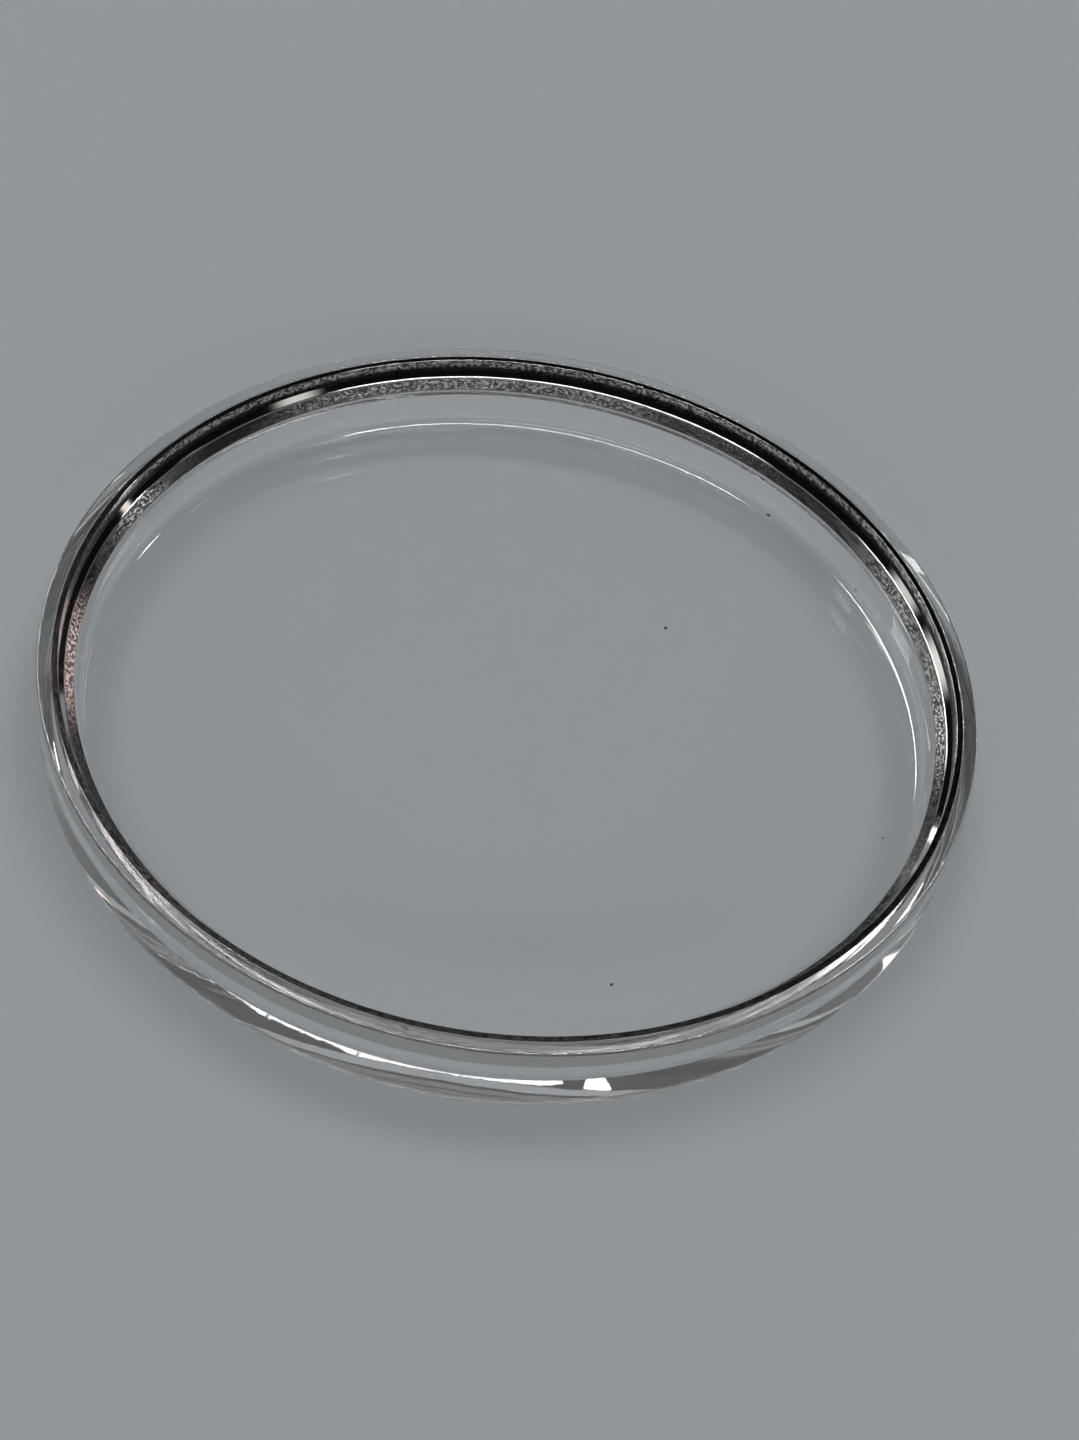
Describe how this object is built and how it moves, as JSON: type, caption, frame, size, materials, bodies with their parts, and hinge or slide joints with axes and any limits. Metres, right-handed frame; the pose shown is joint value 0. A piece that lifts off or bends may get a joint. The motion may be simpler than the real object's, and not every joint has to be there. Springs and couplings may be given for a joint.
{
  "type": "watch crystal",
  "caption": "Low-domed clear acrylic watch crystal with a polished steel tension ring pressed into a groove inside its open rim.",
  "frame": {"origin": "apex of the dome's outer face, on the axis, where the crystal rests on the bench", "axes": "+Z along the axis of revolution, from the dome's apex towards the open rim"},
  "size_m": [0.031, 0.031, 0.004],
  "materials": {
    "clear_acrylic": "polished clear acrylic with fine turned marks on the wall",
    "polished_steel": "polished steel, bright bevels, fine speckle from turning on the lower bevel"
  },
  "bodies": {
    "root": {"crystal": "clear_acrylic", "tension_ring": "polished_steel"}
  },
  "joints": []
}
